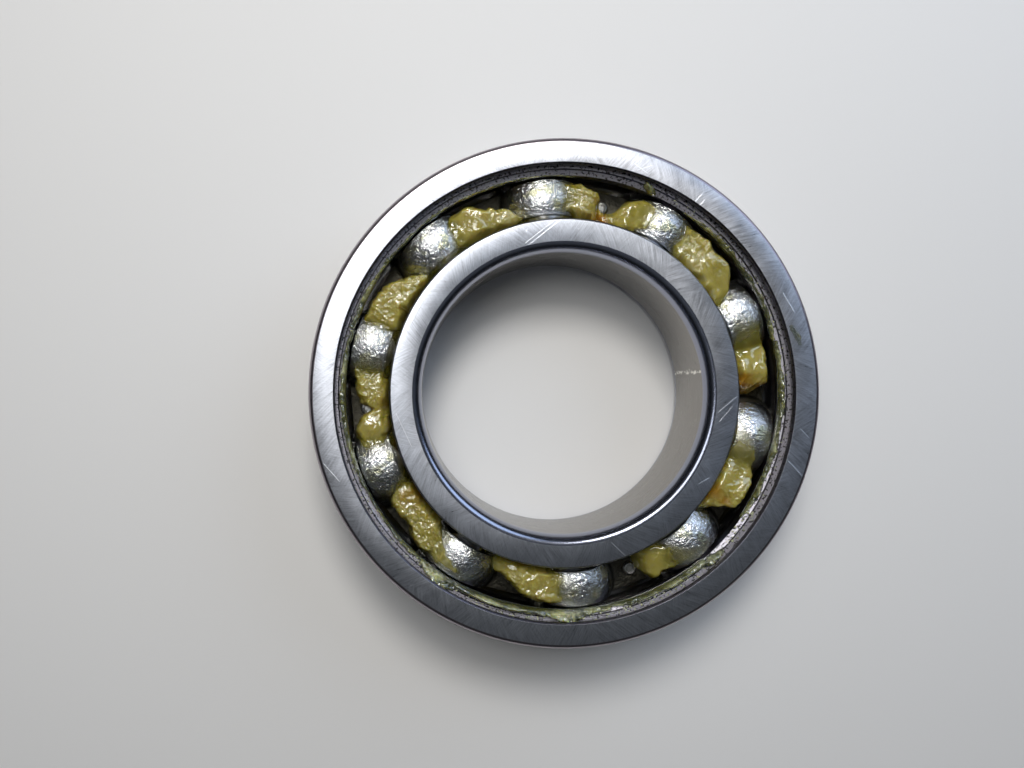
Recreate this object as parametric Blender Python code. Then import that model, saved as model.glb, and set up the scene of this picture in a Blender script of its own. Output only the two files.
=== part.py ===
"""Single-row deep-groove ball bearing, 50 x 90 x 20 mm, lying flat.

Two turned rings, ten balls, a two-piece pressed ribbon cage held by ten rivets, and one rubber
seal with its steel insert on the rear side. The front side is open. The Z axis is the axis of
rotation, the origin is the middle of the bearing, and +Z points out of the open side.
Lengths are in metres.
"""

from math import acos, asin, atan2, cos, pi, radians, sin, sqrt

import bmesh
import bpy

MM = 0.001

# Boundary sizes
BORE_RADIUS = 25.0 * MM
OUTER_RADIUS = 45.0 * MM
HALF_WIDTH = 10.0 * MM

# Ball set
BALL_COUNT = 10
BALL_RADIUS = 6.35 * MM
FIRST_BALL_ANGLE = radians(22.5)
GROOVE_CONFORMITY = 1.04            # raceway groove radius over ball radius
BALL_CLEARANCE = 0.06 * MM          # ball to either raceway

# Outer ring
OUTER_CHAMFER_RADIAL = 1.0 * MM
OUTER_CHAMFER_AXIAL = 1.7 * MM
OUTER_LAND_RISE = 3.85 * MM         # from the ball circle out to the raceway's land
RECESS_STEP = 1.65 * MM             # from the land out to where the flat face starts
RECESS_CHAMFER = 0.25 * MM
RECESS_LIP = 0.75 * MM              # axial thickness of the lip that holds the seal in
SEAL_GROOVE_DEPTH = 0.7 * MM        # radial, beyond the lip
SEAL_GROOVE_MOUTH = 1.2 * MM        # axial, from the lip to the shelf
SHELF_WIDTH = 1.05 * MM             # radial, from the back of the seal groove to the step
STEP_DROP = 0.25 * MM               # the step down from the shelf
STEP_RUN = 0.2 * MM
LAND_SLOPE = 0.35 * MM              # axial fall from the step to the raceway's land

# Inner ring
INNER_LAND_DROP = 4.3 * MM          # from the ball circle in to the raceway's land
INNER_EDGE_CHAMFER = 0.3 * MM
BORE_CHAMFER_RADIAL = 1.65 * MM
BORE_CHAMFER_AXIAL = 2.5 * MM

# Cage
SHEET = 1.2 * MM                    # thickness of the pressed sheet
CAGE_INNER_CLEARANCE = 1.3 * MM     # ribbon to the inner ring's land
CAGE_OUTER_CLEARANCE = 0.55 * MM    # ribbon to the outer ring's land
POCKET_CLEARANCE = 0.2 * MM        # ball to pocket
POCKET_FILLET = 0.8 * MM            # where the dome's outside runs into the web
HALVES_GAP = 0.1 * MM               # between the two halves' webs

# Rivets
RIVET_RADIUS = 0.85 * MM
RIVET_HOLE_CLEARANCE = 0.1 * MM
RIVET_HEAD_RADIUS = 1.25 * MM
RIVET_HEAD_HEIGHT = 0.7 * MM
RIVET_DOME_RADIUS = 0.875 * MM       # where the head's flat dome turns down to its rim
RIVET_DOME_HEIGHT = 0.525 * MM      # of that turn, above the seat
RIVET_SEAT_GAP = 0.05 * MM

# Rear seal
SEAL_CLEARANCE = 0.12 * MM          # rubber to either ring
LIP_EDGE = 0.3 * MM                 # axial height of the lip's running edge
SEAL_SINK = 0.45 * MM               # the seal's outer face below the ring faces
SEAL_THICKNESS = 0.55 * MM          # the rubber skin over the insert
INSERT_THICKNESS = 0.5 * MM
INSERT_MARGIN = 1.3 * MM            # rubber left beyond the insert's inner edge
INSERT_OUTER_MARGIN = 0.75 * MM     # rubber left beyond the insert's outer edge
INSERT_GAP = 0.05 * MM
BEAD_HALF = 0.144 * MM              # half the axial width of the seal's outer bead
LIP_TAPER = 0.455 * MM              # radial, from the lip's running edge to full thickness

# Facets
RING_SEGMENTS = 60
CORNER_POINTS = 3
RACEWAY_STEPS = 8
BALL_SEGMENTS = 16
RIVET_SEGMENTS = 10
POCKET_ARC_STEPS = 6
POCKET_FILLET_STEPS = 2
LINES_UNDER = 4                     # lines across the ribbon, on the pocket side
LINES_OVER = 3                      # and on the outside
SHARP_ANGLE = radians(35)

# Worked out from the sizes above
PITCH_RADIUS = 0.5 * (BORE_RADIUS + OUTER_RADIUS)
PITCH_STEP = 2 * pi / BALL_COUNT
GROOVE_RADIUS = BALL_RADIUS * GROOVE_CONFORMITY
INNER_LAND_RADIUS = PITCH_RADIUS - INNER_LAND_DROP
OUTER_LAND_RADIUS = PITCH_RADIUS + OUTER_LAND_RISE
FACE_INNER_RADIUS = OUTER_LAND_RADIUS + RECESS_STEP
RIBBON_INNER_RADIUS = INNER_LAND_RADIUS + CAGE_INNER_CLEARANCE
RIBBON_OUTER_RADIUS = OUTER_LAND_RADIUS - CAGE_OUTER_CLEARANCE
RIVET_CIRCLE_RADIUS = 0.5 * (RIBBON_INNER_RADIUS + RIBBON_OUTER_RADIUS)


def clear_scene():
    for obj in list(bpy.data.objects):
        bpy.data.objects.remove(obj, do_unlink=True)


def plain_material(name, colour, roughness, metallic=1.0):
    material = bpy.data.materials.new(name)
    material.use_nodes = True
    shader = material.node_tree.nodes["Principled BSDF"]
    shader.inputs["Base Color"].default_value = (*colour, 1.0)
    shader.inputs["Roughness"].default_value = roughness
    shader.inputs["Metallic"].default_value = metallic
    return material


def add_object(name, mesh, material, parent=None, location=(0, 0, 0), angle=0.0):
    obj = bpy.data.objects.new(name, mesh)
    bpy.context.scene.collection.objects.link(obj)
    if not mesh.materials:
        mesh.materials.append(material)
    obj.parent = parent
    obj.location = location
    obj.rotation_euler[2] = angle
    return obj


def on_circle(radius, turn):
    return radius * cos(turn), radius * sin(turn)


def mesh_from(bm, name):
    bmesh.ops.remove_doubles(bm, verts=bm.verts, dist=1e-7)
    bmesh.ops.recalc_face_normals(bm, faces=bm.faces)
    mesh = bpy.data.meshes.new(name)
    bm.to_mesh(mesh)
    bm.free()
    mesh.shade_smooth()
    mesh.set_sharp_from_angle(angle=SHARP_ANGLE)
    return mesh


def turned(name, profile, segments):
    """Spin a profile of (radius, z) points about Z. An end point on the axis closes the shape
    there; otherwise the profile is a closed loop."""
    bm = bmesh.new()
    verts = [bm.verts.new((r, 0, z)) for r, z in profile]
    edges = [bm.edges.new(pair) for pair in zip(verts, verts[1:])]
    if profile[0][0] > 0:
        edges.append(bm.edges.new((verts[-1], verts[0])))
    bmesh.ops.spin(bm, geom=verts + edges, cent=(0, 0, 0), axis=(0, 0, 1), dvec=(0, 0, 0),
                   angle=2 * pi, steps=segments, use_merge=True, use_duplicate=False)
    return mesh_from(bm, name)


def mirrored(front, middle_radius=None):
    """A front half profile, from +Z to the middle, and its mirror image, with a point between
    them at z = 0 where a radius is given for one."""
    middle = [] if middle_radius is None else [(middle_radius, 0)]
    return front + middle + [(r, -z) for r, z in reversed(front)]


def rounded_corner(edge_radius, radial, axial):
    """Points round the chamfer between a ring's face and its cylinder, face first. A positive
    radial size is an outside corner and a negative one is a bore."""
    corner = []
    for i in range(CORNER_POINTS):
        turn = 0.5 * pi * i / (CORNER_POINTS - 1)
        r = edge_radius - radial * (1 - sin(turn))
        z = HALF_WIDTH - axial * (1 - cos(turn))
        corner.append((r, z))
    return corner


def raceway(groove_centre, land_radius):
    """The front half of a raceway groove, from its land down to its deepest point."""
    rise = abs(land_radius - groove_centre)
    reach = acos(rise / GROOVE_RADIUS)
    side = 1 if land_radius > groove_centre else -1
    half_steps = RACEWAY_STEPS // 2
    points = []
    for i in range(half_steps):
        turn = reach * (1 - i / half_steps)
        points.append((groove_centre + side * GROOVE_RADIUS * cos(turn), GROOVE_RADIUS * sin(turn)))
    return points


def outer_raceway_radius():
    """A hole's facets cut inside its corners, so the corners stand back by as much."""
    return (PITCH_RADIUS + BALL_RADIUS + BALL_CLEARANCE) / cos(pi / RING_SEGMENTS)


def recess_radius():
    return FACE_INNER_RADIUS - RECESS_CHAMFER


def groove_top():
    return HALF_WIDTH - RECESS_CHAMFER - RECESS_LIP


def shelf_height():
    return groove_top() - SEAL_GROOVE_MOUTH


def outer_ring():
    deepest = outer_raceway_radius()
    centre = deepest - GROOVE_RADIUS
    groove_back = recess_radius() + SEAL_GROOVE_DEPTH
    groove_slope = 0.5 * SEAL_GROOVE_DEPTH
    shelf_inner = groove_back - SHELF_WIDTH
    step_foot = shelf_height() - STEP_DROP
    front = [
        *reversed(rounded_corner(OUTER_RADIUS, OUTER_CHAMFER_RADIAL, OUTER_CHAMFER_AXIAL)),
        (FACE_INNER_RADIUS, HALF_WIDTH),
        (recess_radius(), HALF_WIDTH - RECESS_CHAMFER),
        (recess_radius(), groove_top()),
        (groove_back, groove_top() - groove_slope),
        (groove_back, shelf_height()),
        (shelf_inner, shelf_height()),
        (shelf_inner - STEP_RUN, step_foot),
        (OUTER_LAND_RADIUS, step_foot - LAND_SLOPE),
        *raceway(centre, OUTER_LAND_RADIUS),
    ]
    return turned("outer_ring", mirrored(front, deepest), RING_SEGMENTS)


def inner_ring():
    deepest = PITCH_RADIUS - BALL_RADIUS - BALL_CLEARANCE
    centre = deepest + GROOVE_RADIUS
    front = [
        *reversed(rounded_corner(BORE_RADIUS, -BORE_CHAMFER_RADIAL, BORE_CHAMFER_AXIAL)),
        (INNER_LAND_RADIUS - INNER_EDGE_CHAMFER, HALF_WIDTH),
        (INNER_LAND_RADIUS, HALF_WIDTH - INNER_EDGE_CHAMFER),
        *raceway(centre, INNER_LAND_RADIUS),
    ]
    return turned("inner_ring", mirrored(front, deepest), RING_SEGMENTS)


def ball():
    bm = bmesh.new()
    bmesh.ops.create_uvsphere(bm, u_segments=BALL_SEGMENTS, v_segments=BALL_SEGMENTS // 2,
                              radius=BALL_RADIUS)
    return mesh_from(bm, "ball")


def pocket_profile(radius, fillet, web_height):
    """Chord and height along one line of the ribbon, from the dome's crown to the web."""
    rise = web_height + fillet
    run = sqrt((radius + fillet) ** 2 - rise ** 2)
    flank = atan2(run, rise)
    points = []
    for i in range(POCKET_ARC_STEPS + 1):
        turn = flank * i / POCKET_ARC_STEPS
        points.append((radius * sin(turn), radius * cos(turn)))
    for i in range(1, POCKET_FILLET_STEPS + 1):
        turn = flank * (1 - i / POCKET_FILLET_STEPS)
        points.append((run - fillet * sin(turn), rise - fillet * cos(turn)))
    return points


def ribbon_line(ring_radius, pocket_radius, fillet, web_height):
    """One line all round the ribbon at a fixed radius: over each ball and along each web."""
    offset = ring_radius - PITCH_RADIUS
    section = sqrt(pocket_radius ** 2 - offset ** 2)
    half = []
    for chord, height in pocket_profile(section, fillet, web_height):
        angle = 2 * asin(chord / (2 * sqrt(ring_radius * PITCH_RADIUS)))
        half.append((angle, height))
    pitch = [(-angle, height) for angle, height in reversed(half)] + half[1:]
    line = []
    for k in range(BALL_COUNT):
        middle = FIRST_BALL_ANGLE + k * PITCH_STEP
        for angle, height in pitch:
            turn = middle + angle
            line.append((*on_circle(ring_radius, turn), height))
    return line


def ribbon_radii(lines):
    width = RIBBON_OUTER_RADIUS - RIBBON_INNER_RADIUS
    return [RIBBON_INNER_RADIUS + width * i / (lines - 1) for i in range(lines)]


def cage_half(name, side):
    """Half of the cage: side is 1 for the front half and -1 for the rear half."""
    web_under = 0.5 * HALVES_GAP
    inner_pocket = BALL_RADIUS + POCKET_CLEARANCE
    under = [ribbon_line(r, inner_pocket, POCKET_FILLET + SHEET, web_under)
             for r in ribbon_radii(LINES_UNDER)]
    over = [ribbon_line(r, inner_pocket + SHEET, POCKET_FILLET, web_under + SHEET)
            for r in ribbon_radii(LINES_OVER)]
    loop = under + list(reversed(over))
    bm = bmesh.new()
    rows = [[bm.verts.new((x, y, side * z)) for x, y, z in line] for line in loop]
    for a in range(len(rows)):
        low, high = rows[a], rows[(a + 1) % len(rows)]
        for i in range(len(low)):
            j = (i + 1) % len(low)
            bm.faces.new((low[i], low[j], high[j], high[i]))
    return mesh_from(bm, name)


def rivet_angle(k):
    return FIRST_BALL_ANGLE + (k + 0.5) * PITCH_STEP


def rivet_hole_cutter():
    """One pin for each rivet, cut through both halves of the cage."""
    bm = bmesh.new()
    for k in range(BALL_COUNT):
        made = bmesh.ops.create_cone(bm, cap_ends=True, segments=RIVET_SEGMENTS,
                                     radius1=RIVET_RADIUS + RIVET_HOLE_CLEARANCE,
                                     radius2=RIVET_RADIUS + RIVET_HOLE_CLEARANCE, depth=6 * SHEET)
        turn = rivet_angle(k)
        bmesh.ops.translate(bm, verts=made["verts"],
                            vec=(*on_circle(RIVET_CIRCLE_RADIUS, turn), 0))
    mesh = bpy.data.meshes.new("rivet_hole_cutter")
    bm.to_mesh(mesh)
    bm.free()
    cutter = bpy.data.objects.new("rivet_hole_cutter", mesh)
    bpy.context.scene.collection.objects.link(cutter)
    cutter.hide_render = True
    cutter.display_type = "WIRE"
    return cutter


def drill(obj, cutter):
    cut = obj.modifiers.new("rivet_holes", "BOOLEAN")
    cut.operation = "DIFFERENCE"
    cut.solver = "EXACT"
    cut.object = cutter


def rivet():
    """Shank through both webs, with a low domed head on each side."""
    seat = 0.5 * HALVES_GAP + SHEET + RIVET_SEAT_GAP
    front = [
        (0, seat + RIVET_HEAD_HEIGHT),
        (RIVET_DOME_RADIUS, seat + RIVET_DOME_HEIGHT),
        (RIVET_HEAD_RADIUS, seat),
        (RIVET_RADIUS, seat),
    ]
    return turned("rivet", mirrored(front), RIVET_SEGMENTS)


def seal_levels():
    """Heights of the seal's outer face, the insert's seat and the insert's inner face."""
    outside = HALF_WIDTH - SEAL_SINK
    seat = outside - SEAL_THICKNESS
    inside = seat - INSERT_GAP - INSERT_THICKNESS
    return outside, seat, inside


def insert_radii():
    inner = INNER_LAND_RADIUS + SEAL_CLEARANCE + INSERT_MARGIN
    outer = recess_radius() - SEAL_CLEARANCE - INSERT_OUTER_MARGIN
    return inner, outer


def rear_seal_rubber():
    """A rubber disc whose outer bead snaps into the seal groove and whose inner lip runs on the
    inner ring's shoulder. The steel insert lies in a pocket on its inner side."""
    outside, seat, inside = seal_levels()
    insert_inner, insert_outer = insert_radii()
    lip = INNER_LAND_RADIUS + SEAL_CLEARANCE
    neck = recess_radius() - SEAL_CLEARANCE
    bead = recess_radius() + SEAL_GROOVE_DEPTH - SEAL_CLEARANCE
    bead_middle = 0.5 * (groove_top() + shelf_height())
    foot = shelf_height() + SEAL_CLEARANCE
    profile = [
        (lip, seat + 0.5 * LIP_EDGE),
        (lip + LIP_TAPER, outside),
        (neck - LIP_TAPER, outside),
        (neck, groove_top() - SEAL_CLEARANCE),
        (bead, bead_middle + BEAD_HALF),
        (bead, bead_middle - BEAD_HALF),
        (neck, foot),
        (insert_outer + INSERT_GAP, foot),
        (insert_outer + INSERT_GAP, seat),
        (insert_inner - INSERT_GAP, seat),
        (insert_inner - INSERT_GAP, inside),
        (lip + LIP_TAPER, inside),
        (lip, seat - 0.5 * LIP_EDGE),
    ]
    return turned("rear_seal_rubber", [(r, -z) for r, z in profile], RING_SEGMENTS)


def rear_seal_insert():
    seat = seal_levels()[1] - INSERT_GAP
    inside = seal_levels()[2]
    inner, outer = insert_radii()
    profile = [(inner, seat), (outer, seat), (outer, inside), (inner, inside)]
    return turned("rear_seal_insert", [(r, -z) for r, z in profile], RING_SEGMENTS)


def build():
    clear_scene()
    ring_steel = plain_material("ring_steel", (0.46, 0.47, 0.50), 0.30)
    ball_steel = plain_material("ball_steel", (0.72, 0.73, 0.75), 0.08)
    cage_steel = plain_material("cage_steel", (0.62, 0.63, 0.62), 0.25)
    seal_rubber = plain_material("seal_rubber", (0.03, 0.03, 0.032), 0.55, metallic=0.0)

    add_object("outer_ring", outer_ring(), ring_steel)
    add_object("inner_ring", inner_ring(), ring_steel)
    add_object("rear_seal_rubber", rear_seal_rubber(), seal_rubber)
    add_object("rear_seal_insert", rear_seal_insert(), cage_steel)

    cage = bpy.data.objects.new("cage", None)
    bpy.context.scene.collection.objects.link(cage)
    front = add_object("cage_front", cage_half("cage_front", 1), cage_steel, parent=cage)
    rear = add_object("cage_rear", cage_half("cage_rear", -1), cage_steel, parent=cage)
    cutter = rivet_hole_cutter()
    drill(front, cutter)
    drill(rear, cutter)

    rivet_mesh = rivet()
    ball_mesh = ball()
    for k in range(BALL_COUNT):
        turn = rivet_angle(k)
        place = (*on_circle(RIVET_CIRCLE_RADIUS, turn), 0)
        add_object(f"rivet_{k + 1:02d}", rivet_mesh, cage_steel, cage, place, turn)
        turn = FIRST_BALL_ANGLE + k * PITCH_STEP
        place = (*on_circle(PITCH_RADIUS, turn), 0)
        add_object(f"ball_{k + 1:02d}", ball_mesh, ball_steel, cage, place, turn)


build()
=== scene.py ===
"""A greased deep-groove ball bearing, 50 x 90 x 20 mm, lying flat with its open side up.

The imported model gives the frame: where the rings, balls, cage, rivets and seal are, and how
they turn. This script gives each of them its fine surface and finish, and adds the grease.
Sizes below are in millimetres; meshes are in metres.
"""

from math import acos, asin, atan2, cos, pi, radians, sin, sqrt, tan

import bmesh
import bpy
import numpy as np
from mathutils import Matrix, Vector, noise


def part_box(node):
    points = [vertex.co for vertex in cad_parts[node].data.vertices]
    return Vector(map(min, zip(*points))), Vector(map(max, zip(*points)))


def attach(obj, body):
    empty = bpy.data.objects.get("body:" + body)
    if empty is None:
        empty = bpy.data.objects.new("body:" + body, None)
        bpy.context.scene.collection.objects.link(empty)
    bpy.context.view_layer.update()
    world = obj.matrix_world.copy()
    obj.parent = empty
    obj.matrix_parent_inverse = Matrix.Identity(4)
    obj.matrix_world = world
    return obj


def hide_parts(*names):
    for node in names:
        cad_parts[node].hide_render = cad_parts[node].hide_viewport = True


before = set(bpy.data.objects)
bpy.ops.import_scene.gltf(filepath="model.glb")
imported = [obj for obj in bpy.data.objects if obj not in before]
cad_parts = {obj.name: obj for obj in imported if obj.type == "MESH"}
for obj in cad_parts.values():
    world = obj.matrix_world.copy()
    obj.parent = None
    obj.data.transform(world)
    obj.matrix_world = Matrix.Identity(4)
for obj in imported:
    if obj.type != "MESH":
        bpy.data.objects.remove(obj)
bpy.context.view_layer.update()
MM = 0.001


# ---------------------------------------------------------------------------------------------
# Camera. A phone held level above the table, a little to the left of the bearing, so that it
# looks down into the open side and sees more of the bore's right-hand wall.

CAMERA_PLACE = Vector((-23.5, 0.9, 146.4)) * MM


def add_object(name, data):
    obj = bpy.data.objects.new(name, data)
    bpy.context.scene.collection.objects.link(obj)
    return obj


camera_data = bpy.data.cameras.new("camera")
camera_data.sensor_width = 36
camera_data.lens = 27.45
camera_data.shift_x = 0.080
camera_data.shift_y = 0.004
camera_data.clip_start = 0.01
camera = add_object("camera", camera_data)
camera.location = CAMERA_PLACE
bpy.context.scene.camera = camera


# ---------------------------------------------------------------------------------------------
# Outer ring. One through-hardened steel ring, turned, then ground on its faces, outside and
# raceway. The recess that holds the seal is left as turned, and is dirty where the seal sat; its
# tone is also set darker, as painted shade down in the groove.

OUTER_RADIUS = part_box("outer_ring")[1].x / MM
HALF_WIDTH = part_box("outer_ring")[1].z / MM
PITCH_RADIUS = 35.0
BALL_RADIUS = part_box("ball_01")[1].z / MM
GROOVE_RADIUS = 1.04 * BALL_RADIUS
BALL_CLEARANCE = 0.06
OUTER_CHAMFER_RADIAL = 1.0
OUTER_CHAMFER_AXIAL = 1.7
OUTER_LAND_RADIUS = 38.85
FACE_INNER_RADIUS = 40.5
LIP_RADIUS = 40.25
LIP_EDGE = HALF_WIDTH - 0.25
LIP_FOOT = HALF_WIDTH - 1.0
GROOVE_BACK = 40.95
GROOVE_TOP = HALF_WIDTH - 1.35
SHELF_HEIGHT = 7.8
SHELF_INNER = 39.9
SLOPE_OUTER = SHELF_INNER - 0.2
SLOPE_TOP = SHELF_HEIGHT - 0.25
SLOPE_FOOT = SHELF_HEIGHT - 0.6
SCRATCH_FADE = 0.6
RING_SEGMENTS = 360


class Val:
    """A socket whose arithmetic adds Math nodes to its tree."""

    def __init__(self, nodes, socket):
        self.nodes = nodes
        self.socket = socket

    def maths(self, operation, *others):
        inputs = dict(enumerate((self, *others)))
        return self.nodes.node("ShaderNodeMath", {"operation": operation}, inputs)["Value"]

    def __add__(self, other):
        return self.maths("ADD", other)

    __radd__ = __add__

    def __sub__(self, other):
        return self.maths("SUBTRACT", other)

    def __rsub__(self, other):
        return (self * -1.0) + other

    def __mul__(self, other):
        return self.maths("MULTIPLY", other)

    __rmul__ = __mul__

    def __truediv__(self, other):
        return self.maths("DIVIDE", other)

    def __pow__(self, other):
        return self.maths("POWER", other)


class Nodes:
    """A node tree being wired. node() adds any node and gives its live outputs by name."""

    def __init__(self, tree):
        self.tree = tree

    def node(self, kind, settings=None, inputs=None):
        node = self.tree.nodes.new(kind)
        for name, value in (settings or {}).items():
            setattr(node, name, value)
        live = [socket for socket in node.inputs if socket.enabled]
        for name, value in (inputs or {}).items():
            if isinstance(name, int):
                socket = live[name]
            else:
                socket = next(s for s in live if s.name == name)
            self.feed(socket, value)
        return {socket.name: Val(self, socket) for socket in node.outputs if socket.enabled}

    def feed(self, socket, value):
        if isinstance(value, Val):
            self.tree.links.new(value.socket, socket)
        else:
            socket.default_value = value

    def first(self, kind, **inputs):
        """The first output of a node."""
        return next(iter(self.node(kind, inputs=inputs).values()))

    def vector(self, **parts):
        return self.node("ShaderNodeCombineXYZ", inputs=parts)["Vector"]

    def polar(self, turn, reach, **height):
        """The point at an angle round the Z axis and at a distance from it."""
        return self.vector(X=turn.maths("COSINE") * reach, Y=turn.maths("SINE") * reach, **height)


class Finish(Nodes):
    """A material with one Principled shader, and the patterns that more than one finish uses."""

    def __init__(self, name, **constants):
        self.material = bpy.data.materials.new(name)
        self.material.use_nodes = True
        super().__init__(self.material.node_tree)
        self.shader = self.tree.nodes["Principled BSDF"]
        for label, value in constants.items():
            self.shader.inputs[label.replace("_", " ")].default_value = value
        place = self.node("ShaderNodeTexCoord")["Object"]
        scaled = self.node("ShaderNodeVectorMath", {"operation": "SCALE"}, {0: place, "Scale": 1 / MM})
        self.point = scaled["Vector"]
        axes = self.node("ShaderNodeSeparateXYZ", inputs={"Vector": self.point})
        self.x, self.y, self.z = axes["X"], axes["Y"], axes["Z"]
        self.radius = (self.x ** 2.0 + self.y ** 2.0) ** 0.5
        self.angle = self.y.maths("ARCTAN2", self.x)

    def noise(self, scale, detail=2.0, at=None, stretch=0.0):
        """Noise from 0 to 1 with a scale in cells per millimetre."""
        inputs = {"Vector": at or self.point, "Scale": scale, "Detail": detail, "Distortion": stretch}
        return self.node("ShaderNodeTexNoise", inputs=inputs)["Fac"]

    def band(self, value, low, high):
        """0 below low and 1 above high, with a smooth step between."""
        settings = {"interpolation_type": "SMOOTHSTEP"}
        inputs = {"Value": value, "From Min": low, "From Max": high}
        return self.node("ShaderNodeMapRange", settings, inputs)["Result"]

    def mix(self, share, first, second):
        settings = {"data_type": "RGBA"}
        return self.node("ShaderNodeMix", settings, {"Factor": share, "A": first, "B": second})["Result"]

    def layer(self, name):
        """What the mesh carries under this name, from point to point."""
        return self.node("ShaderNodeAttribute", {"attribute_name": name})["Fac"]

    def bump(self, height, depth, under=None):
        """A bump whose full height is depth millimetres, on top of the one under it."""
        inputs = {"Height": height, "Distance": depth * MM}
        if under is not None:
            inputs["Normal"] = under
        return self.node("ShaderNodeBump", inputs=inputs)["Normal"]

    def plug(self, **links):
        for label, value in links.items():
            self.feed(self.shader.inputs[label.replace("_", " ")], value)
        return self.material


def rgb(red, green, blue):
    return (red, green, blue, 1.0)


def shade(tone, factor):
    """A lighter or darker shade of a colour."""
    return rgb(*(min(1.0, c * factor) for c in tone))


def grinding_marks(finish, slant, lines, length):
    """Fine lines across a ring's face. They lean by slant, as a spiral of constant slope, there
    are about so many round the ring, and each runs for about so many millimetres."""
    natural_base = 2.718
    turn = finish.angle + finish.radius.maths("LOGARITHM", natural_base) * slant
    return finish.noise(1.0, 3.0, at=finish.polar(turn, lines, Z=finish.radius / length))


def scratch(finish, start, end, width):
    """A straight scratch between two points on a face: 1 on the line and 0 off it."""
    run = Vector(end) - Vector(start)
    along = run.normalized()
    dx = finish.x - start[0]
    dy = finish.y - start[1]
    travelled = dx * along.x + dy * along.y
    beside = (dx * -along.y + dy * along.x).maths("ABSOLUTE")
    started = finish.band(travelled, 0.0, SCRATCH_FADE)
    ended = finish.band(travelled, run.length - SCRATCH_FADE, run.length)
    return started * (1.0 - ended) * (1.0 - finish.band(beside, 0.3 * width, width))


def ground_face(name, tone, roughness, scratches):
    """A ground face: crossing families of fine marks, a faint cloudiness and a few scratches."""
    finish = Finish(name, Metallic=1.0, Anisotropic=0.5)
    first = grinding_marks(finish, 0.55, 150, 3.0)
    second = grinding_marks(finish, -0.8, 110, 2.5)
    fine = grinding_marks(finish, 0.1, 420, 1.2)
    share = finish.band(finish.noise(0.11, 1.0), 0.4, 0.6)
    lines = first * share + second * (1.0 - share) + fine * 0.5
    cloud = finish.noise(0.35, 3.0)
    speck = finish.noise(3.5, 2.0)
    marks = lines * 0.5 + speck * 0.12 + cloud * 0.1
    nicks = finish.band(finish.noise(1.1, 4.0), 0.66, 0.72)
    hurt = scratch(finish, *scratches[0])
    for line in scratches[1:]:
        hurt = hurt.maths("MAXIMUM", scratch(finish, *line))
    colour = finish.mix(finish.band(marks, 0.20, 0.66), shade(tone, 0.72), shade(tone, 1.55))
    colour = finish.mix(hurt * 0.8 + nicks * 0.25, colour, rgb(0.85, 0.87, 0.9))
    rough = (lines - 0.75) * 0.18 + (cloud - 0.5) * 0.12 + hurt * 0.15 + roughness
    normal = finish.bump(lines + hurt * 1.5 - nicks, 0.007)
    return finish.plug(Base_Color=colour, Roughness=rough, Normal=normal)


def turned_steel(name, tone, roughness, dirt, pitch=6.0, depth=0.002, metallic=1.0, fretted=None):
    """A turned or honed surface: fine rings round the axis, with specks of dirt. Where the shaft
    has fretted it, small bright marks run along the axis at that angle."""
    finish = Finish(name, Metallic=metallic)
    place = finish.vector(X=finish.radius * pitch, Y=finish.z * pitch, Z=finish.angle * 0.8)
    rings = finish.noise(1.0, 3.0, at=place)
    cloud = finish.noise(0.5, 3.0)
    specks = finish.band(finish.noise(2.6, 4.0), 0.68 - 0.16 * dirt, 0.76 - 0.12 * dirt) * dirt
    colour = finish.mix(rings * 0.6 + cloud * 0.4, shade(tone, 0.85), shade(tone, 1.12))
    colour = finish.mix(specks, colour, rgb(0.06, 0.055, 0.05))
    if fretted is not None:
        beside = (finish.angle + finish.noise(0.5, 1.0) * 0.04 - fretted).maths("ABSOLUTE")
        marks = 1.0 - finish.band(beside, 0.006, 0.018)
        marks = marks * finish.band(finish.noise(1.3, 1.0), 0.44, 0.52)
        colour = finish.mix(marks, colour, rgb(0.98, 0.96, 0.90))
    rough = rings * 0.12 + cloud * 0.08 + specks * 0.2 + (roughness - 0.1)
    normal = finish.bump(rings - specks * 0.4, depth)
    return finish.plug(Base_Color=colour, Roughness=rough, Normal=normal)


def rounded(corners, steps=4):
    """An open outline with rounded corners, as points and the finish that follows each point.
    A corner is (radius, height, fillet, finish)."""
    points, finishes = [], []
    for i, (r, z, fillet, finish) in enumerate(corners):
        here = Vector((r, z))
        if fillet == 0:
            points.append(here)
            finishes.append(finish)
            continue
        back = (Vector(corners[i - 1][:2]) - here).normalized()
        ahead = (Vector(corners[(i + 1) % len(corners)][:2]) - here).normalized()
        half = 0.5 * back.angle(ahead)
        centre = here + (back + ahead).normalized() * fillet / sin(half)
        start = here + back * fillet / tan(half) - centre
        end = here + ahead * fillet / tan(half) - centre
        for k in range(steps + 1):
            points.append(centre + start.lerp(end, k / steps).normalized() * fillet)
            finishes.append(finish if 2 * k >= steps else corners[i - 1][3])
    return points, finishes


def mirrored(points):
    return [Vector((p.x, -p.y)) for p in points]


def both_sides(points, finishes, closing):
    """A front half outline that ends on the middle plane, and its mirror image."""
    return points + mirrored(points[-2::-1]), finishes[:-1] + finishes[-2::-1] + [closing]


def mesh_object(name, verts, faces, materials, finishes=None, sharp=radians(32)):
    """A mesh in metres from points in millimetres, facing out, smooth but for its sharp edges."""
    mesh = bpy.data.meshes.new(name)
    mesh.from_pydata([tuple(float(c) * MM for c in v) for v in verts], [], faces)
    for material in materials:
        mesh.materials.append(material)
    if finishes is not None:
        mesh.polygons.foreach_set("material_index", finishes)
    bm = bmesh.new()
    bm.from_mesh(mesh)
    bmesh.ops.delete(bm, geom=[v for v in bm.verts if not v.link_faces], context="VERTS")
    bmesh.ops.recalc_face_normals(bm, faces=bm.faces)
    bm.to_mesh(mesh)
    bm.free()
    mesh.shade_smooth()
    mesh.set_sharp_from_angle(angle=sharp)
    return add_object(name, mesh)


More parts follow.
